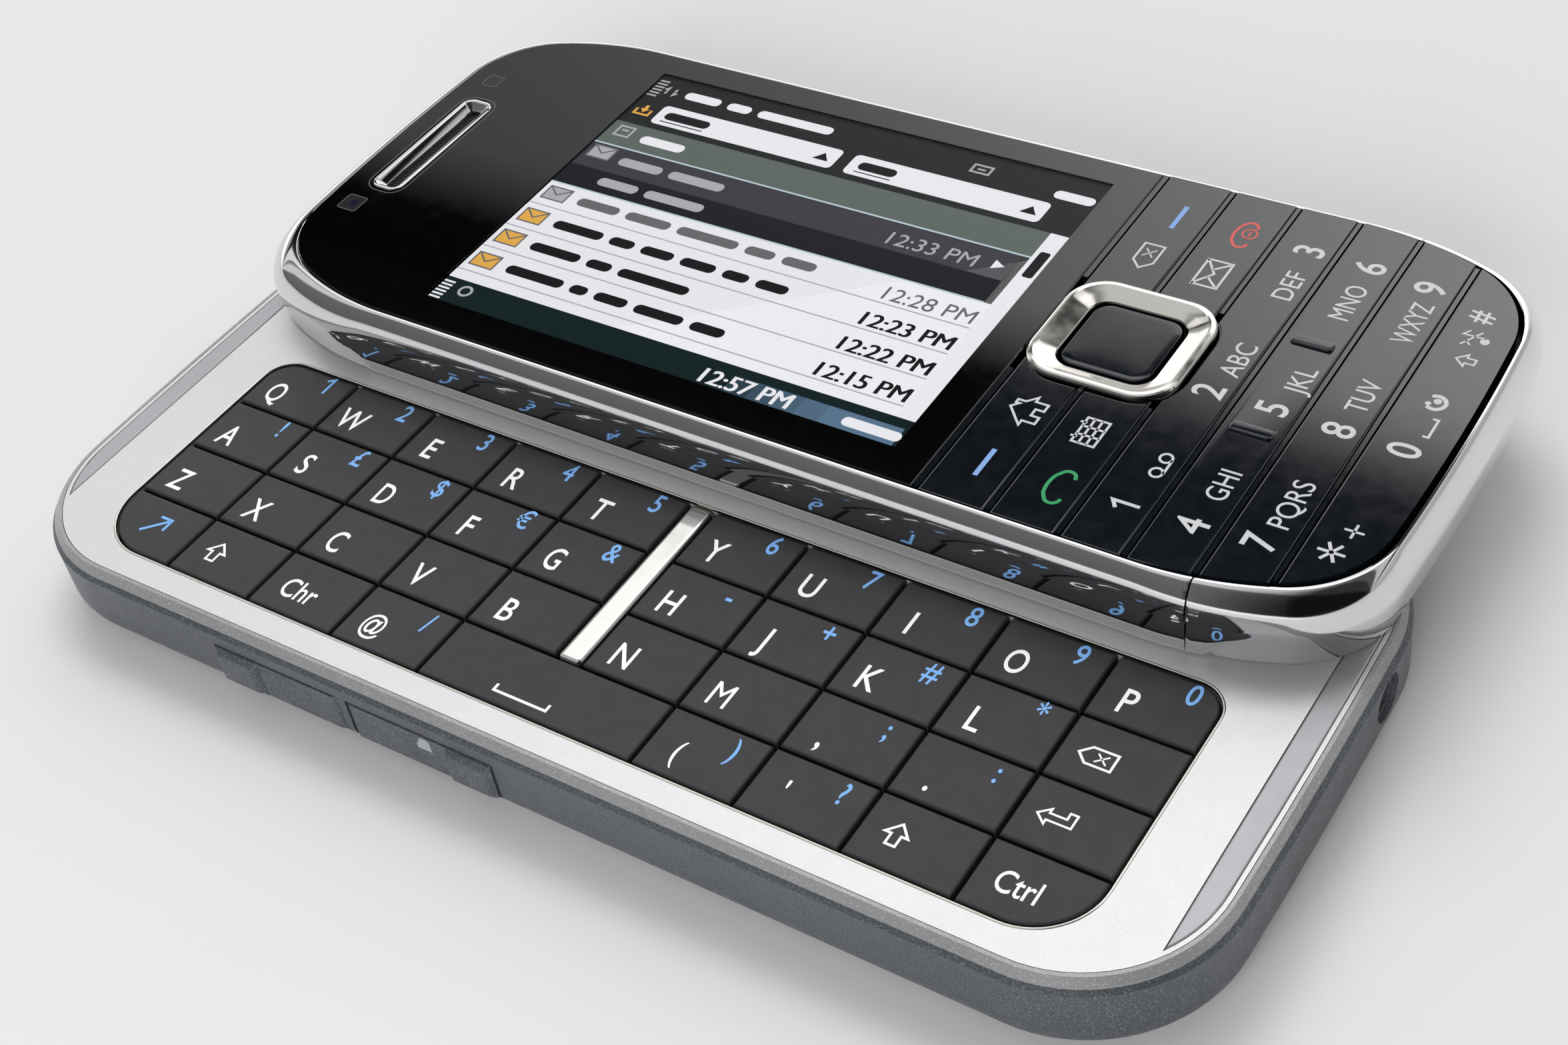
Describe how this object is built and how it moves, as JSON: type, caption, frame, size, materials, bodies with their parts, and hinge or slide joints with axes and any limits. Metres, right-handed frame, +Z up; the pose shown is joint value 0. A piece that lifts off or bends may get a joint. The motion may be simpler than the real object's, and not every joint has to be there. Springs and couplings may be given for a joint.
{
  "type": "slider phone",
  "caption": "Mobile phone whose upper half, with display and number keypad, slides sideways off a letter keyboard; chrome frame, flaps, side keys, battery door and inner parts.",
  "frame": {"origin": "middle of the flat back face that the phone rests on", "axes": "+X towards the end with the charger and the number keypad, +Y the way the slider opens, +Z up out of the display"},
  "size_m": [0.1108, 0.077, 0.0149],
  "materials": {
    "housing": "satin dark grey metallic",
    "deck": "satin fine metallic silver",
    "rim": "bright blasted bevel",
    "end_strip": "satin light grey",
    "polished_bar": "polished",
    "keycap": "matte charcoal with printed legends",
    "keymat": "matte black",
    "frame_chrome": "polished",
    "window_black": "high gloss black",
    "lens": "clear, polished",
    "display": "dark display with a list on it",
    "keypad": "gloss blue-black with fine sparkle",
    "nav_metal": "polished, slightly warm",
    "inner_metal": "plain stamped steel",
    "door_metal": "satin steel",
    "inner_plastic": "plain moulded",
    "board": "solder mask green",
    "battery_skin": "plain grey label stock, unmarked",
    "camera_glass": "polished dark"
  },
  "bodies": {
    "base": {"base_housing": "housing", "battery": "battery_skin", "case_screws": "inner_metal", "deck_rim": "rim", "keyboard_deck": "deck", "end_strips": "end_strip", "chassis": "inner_plastic", "divider_bar": "polished_bar", "keyboard_board": "board", "keymat": "keymat", "main_board": "board", "camera_module": "inner_plastic", "camera_window": "camera_glass", "loudspeaker": "inner_plastic", "vibration_motor": "inner_plastic", "sim_holder": "inner_plastic", "port_socket": "inner_metal", "card_slot": "inner_plastic", "charger_socket": "inner_metal", "audio_jack": "inner_plastic", "guide_shoes": "inner_metal"},
    "slider": {"slide_plate": "inner_metal", "slider_chassis": "inner_plastic", "slider_frame": "frame_chrome", "end_cap": "frame_chrome", "window": "window_black", "display_lens": "lens", "display_module": "display", "earpiece_grille": "nav_metal", "earpiece_capsule": "inner_plastic", "front_camera": "window_black", "keypad_board": "board"},
    "letters_q_to_t": {"letters_q_to_t": "keycap"},
    "letters_y_to_p": {"letters_y_to_p": "keycap"},
    "letters_a_to_g": {"letters_a_to_g": "keycap"},
    "letters_h_to_l": {"letters_h_to_l": "keycap"},
    "letters_z_to_b": {"letters_z_to_b": "keycap"},
    "letters_n_to_stop": {"letters_n_to_stop": "keycap"},
    "backspace_key": {"backspace_key": "keycap"},
    "enter_key": {"enter_key": "keycap"},
    "space_key": {"space_key": "keycap"},
    "shift_keys": {"shift_keys": "keycap"},
    "modifier_keys": {"modifier_keys": "keycap"},
    "punctuation_keys": {"punctuation_keys": "keycap"},
    "soft_key_left": {"soft_key_left": "keypad"},
    "soft_key_right": {"soft_key_right": "keypad"},
    "call_key": {"call_key": "keypad"},
    "end_key": {"end_key": "keypad"},
    "number_bar_1_2_3": {"number_bar_1_2_3": "keypad"},
    "number_bar_4_5_6": {"number_bar_4_5_6": "keypad"},
    "number_bar_7_8_9": {"number_bar_7_8_9": "keypad"},
    "number_bar_star_0_hash": {"number_bar_star_0_hash": "keypad"},
    "nav_ring": {"nav_ring": "nav_metal"},
    "select_key": {"select_key": "keypad"},
    "camera_key": {"camera_key": "nav_metal"},
    "power_key": {"power_key": "nav_metal"},
    "volume_key": {"volume_key": "nav_metal"},
    "battery_door": {"battery_door": "door_metal"},
    "port_flap": {"port_flap": "housing"},
    "card_flap": {"card_flap": "housing"}
  },
  "joints": [
    {"name": "slide", "type": "slide", "parent": "base", "child": "slider", "axis": [0, -1, 0], "range_m": [0, 0.0282]},
    {"name": "letters_q_to_t_press", "type": "slide", "parent": "base", "child": "letters_q_to_t", "axis": [0, 0, -1], "range_m": [0, 0.0003], "stiffness_N_per_m": 400},
    {"name": "letters_y_to_p_press", "type": "slide", "parent": "base", "child": "letters_y_to_p", "axis": [0, 0, -1], "range_m": [0, 0.0003], "stiffness_N_per_m": 400},
    {"name": "letters_a_to_g_press", "type": "slide", "parent": "base", "child": "letters_a_to_g", "axis": [0, 0, -1], "range_m": [0, 0.0003], "stiffness_N_per_m": 400},
    {"name": "letters_h_to_l_press", "type": "slide", "parent": "base", "child": "letters_h_to_l", "axis": [0, 0, -1], "range_m": [0, 0.0003], "stiffness_N_per_m": 400},
    {"name": "letters_z_to_b_press", "type": "slide", "parent": "base", "child": "letters_z_to_b", "axis": [0, 0, -1], "range_m": [0, 0.0003], "stiffness_N_per_m": 400},
    {"name": "letters_n_to_stop_press", "type": "slide", "parent": "base", "child": "letters_n_to_stop", "axis": [0, 0, -1], "range_m": [0, 0.0003], "stiffness_N_per_m": 400},
    {"name": "backspace_key_press", "type": "slide", "parent": "base", "child": "backspace_key", "axis": [0, 0, -1], "range_m": [0, 0.0003], "stiffness_N_per_m": 400},
    {"name": "enter_key_press", "type": "slide", "parent": "base", "child": "enter_key", "axis": [0, 0, -1], "range_m": [0, 0.0003], "stiffness_N_per_m": 400},
    {"name": "space_key_press", "type": "slide", "parent": "base", "child": "space_key", "axis": [0, 0, -1], "range_m": [0, 0.0003], "stiffness_N_per_m": 400},
    {"name": "shift_keys_press", "type": "slide", "parent": "base", "child": "shift_keys", "axis": [0, 0, -1], "range_m": [0, 0.0003], "stiffness_N_per_m": 400},
    {"name": "modifier_keys_press", "type": "slide", "parent": "base", "child": "modifier_keys", "axis": [0, 0, -1], "range_m": [0, 0.0003], "stiffness_N_per_m": 400},
    {"name": "punctuation_keys_press", "type": "slide", "parent": "base", "child": "punctuation_keys", "axis": [0, 0, -1], "range_m": [0, 0.0003], "stiffness_N_per_m": 400},
    {"name": "soft_key_left_press", "type": "slide", "parent": "slider", "child": "soft_key_left", "axis": [0, 0, -1], "range_m": [0, 0.00025], "stiffness_N_per_m": 400},
    {"name": "soft_key_right_press", "type": "slide", "parent": "slider", "child": "soft_key_right", "axis": [0, 0, -1], "range_m": [0, 0.00025], "stiffness_N_per_m": 400},
    {"name": "call_key_press", "type": "slide", "parent": "slider", "child": "call_key", "axis": [0, 0, -1], "range_m": [0, 0.00025], "stiffness_N_per_m": 400},
    {"name": "end_key_press", "type": "slide", "parent": "slider", "child": "end_key", "axis": [0, 0, -1], "range_m": [0, 0.00025], "stiffness_N_per_m": 400},
    {"name": "number_bar_1_2_3_press", "type": "slide", "parent": "slider", "child": "number_bar_1_2_3", "axis": [0, 0, -1], "range_m": [0, 0.00025], "stiffness_N_per_m": 400},
    {"name": "number_bar_4_5_6_press", "type": "slide", "parent": "slider", "child": "number_bar_4_5_6", "axis": [0, 0, -1], "range_m": [0, 0.00025], "stiffness_N_per_m": 400},
    {"name": "number_bar_7_8_9_press", "type": "slide", "parent": "slider", "child": "number_bar_7_8_9", "axis": [0, 0, -1], "range_m": [0, 0.00025], "stiffness_N_per_m": 400},
    {"name": "number_bar_star_0_hash_press", "type": "slide", "parent": "slider", "child": "number_bar_star_0_hash", "axis": [0, 0, -1], "range_m": [0, 0.00025], "stiffness_N_per_m": 400},
    {"name": "nav_ring_press", "type": "slide", "parent": "slider", "child": "nav_ring", "axis": [0, 0, -1], "range_m": [0, 0.00025], "stiffness_N_per_m": 400},
    {"name": "select_key_press", "type": "slide", "parent": "slider", "child": "select_key", "axis": [0, 0, -1], "range_m": [0, 0.00025], "stiffness_N_per_m": 400},
    {"name": "camera_key_press", "type": "slide", "parent": "base", "child": "camera_key", "axis": [0, -1, 0], "range_m": [0, 0.00025], "stiffness_N_per_m": 400},
    {"name": "power_key_press", "type": "slide", "parent": "base", "child": "power_key", "axis": [1, 0, 0], "range_m": [0, 0.00025], "stiffness_N_per_m": 400},
    {"name": "volume_rock", "type": "hinge", "parent": "base", "child": "volume_key", "pos_m": [-0.012, 0.0232, 0.00335], "axis": [0, 0, 1], "range_deg": [-1.4, 1.4], "stiffness_Nm_per_rad": 0.05},
    {"name": "door_slide", "type": "slide", "parent": "base", "child": "battery_door", "axis": [1, 0, 0], "range_m": [0, 0.012]},
    {"name": "port_flap_hinge", "type": "hinge", "parent": "base", "child": "port_flap", "pos_m": [-0.01652, -0.0246, 0.00355], "axis": [0, 0, 1], "range_deg": [0, 80]},
    {"name": "card_flap_hinge", "type": "hinge", "parent": "base", "child": "card_flap", "pos_m": [-0.01448, -0.0246, 0.00355], "axis": [0, 0, -1], "range_deg": [0, 80]}
  ]
}
